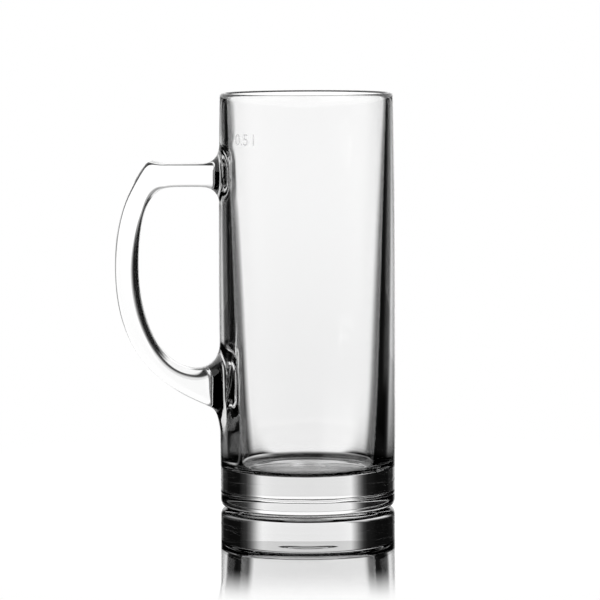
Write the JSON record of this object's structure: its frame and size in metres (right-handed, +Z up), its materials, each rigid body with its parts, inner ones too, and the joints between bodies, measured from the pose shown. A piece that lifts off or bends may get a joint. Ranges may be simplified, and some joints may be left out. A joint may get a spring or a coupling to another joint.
{
  "type": "beer mug",
  "caption": "Tall straight glass beer mug with a thick solid base and a D-shaped side handle with a thumb rest.",
  "frame": {"origin": "centre of the flat underside, on the body's axis", "axes": "+Z up along the body's axis, -X towards the handle, +Y across the handle's plane"},
  "size_m": [0.1264, 0.0796, 0.187],
  "materials": {
    "body_glass": "clear polished pressed glass",
    "handle_glass": "clear fire-polished pressed glass"
  },
  "bodies": {
    "root": {"glass_body": "body_glass", "handle": "handle_glass"}
  },
  "joints": []
}
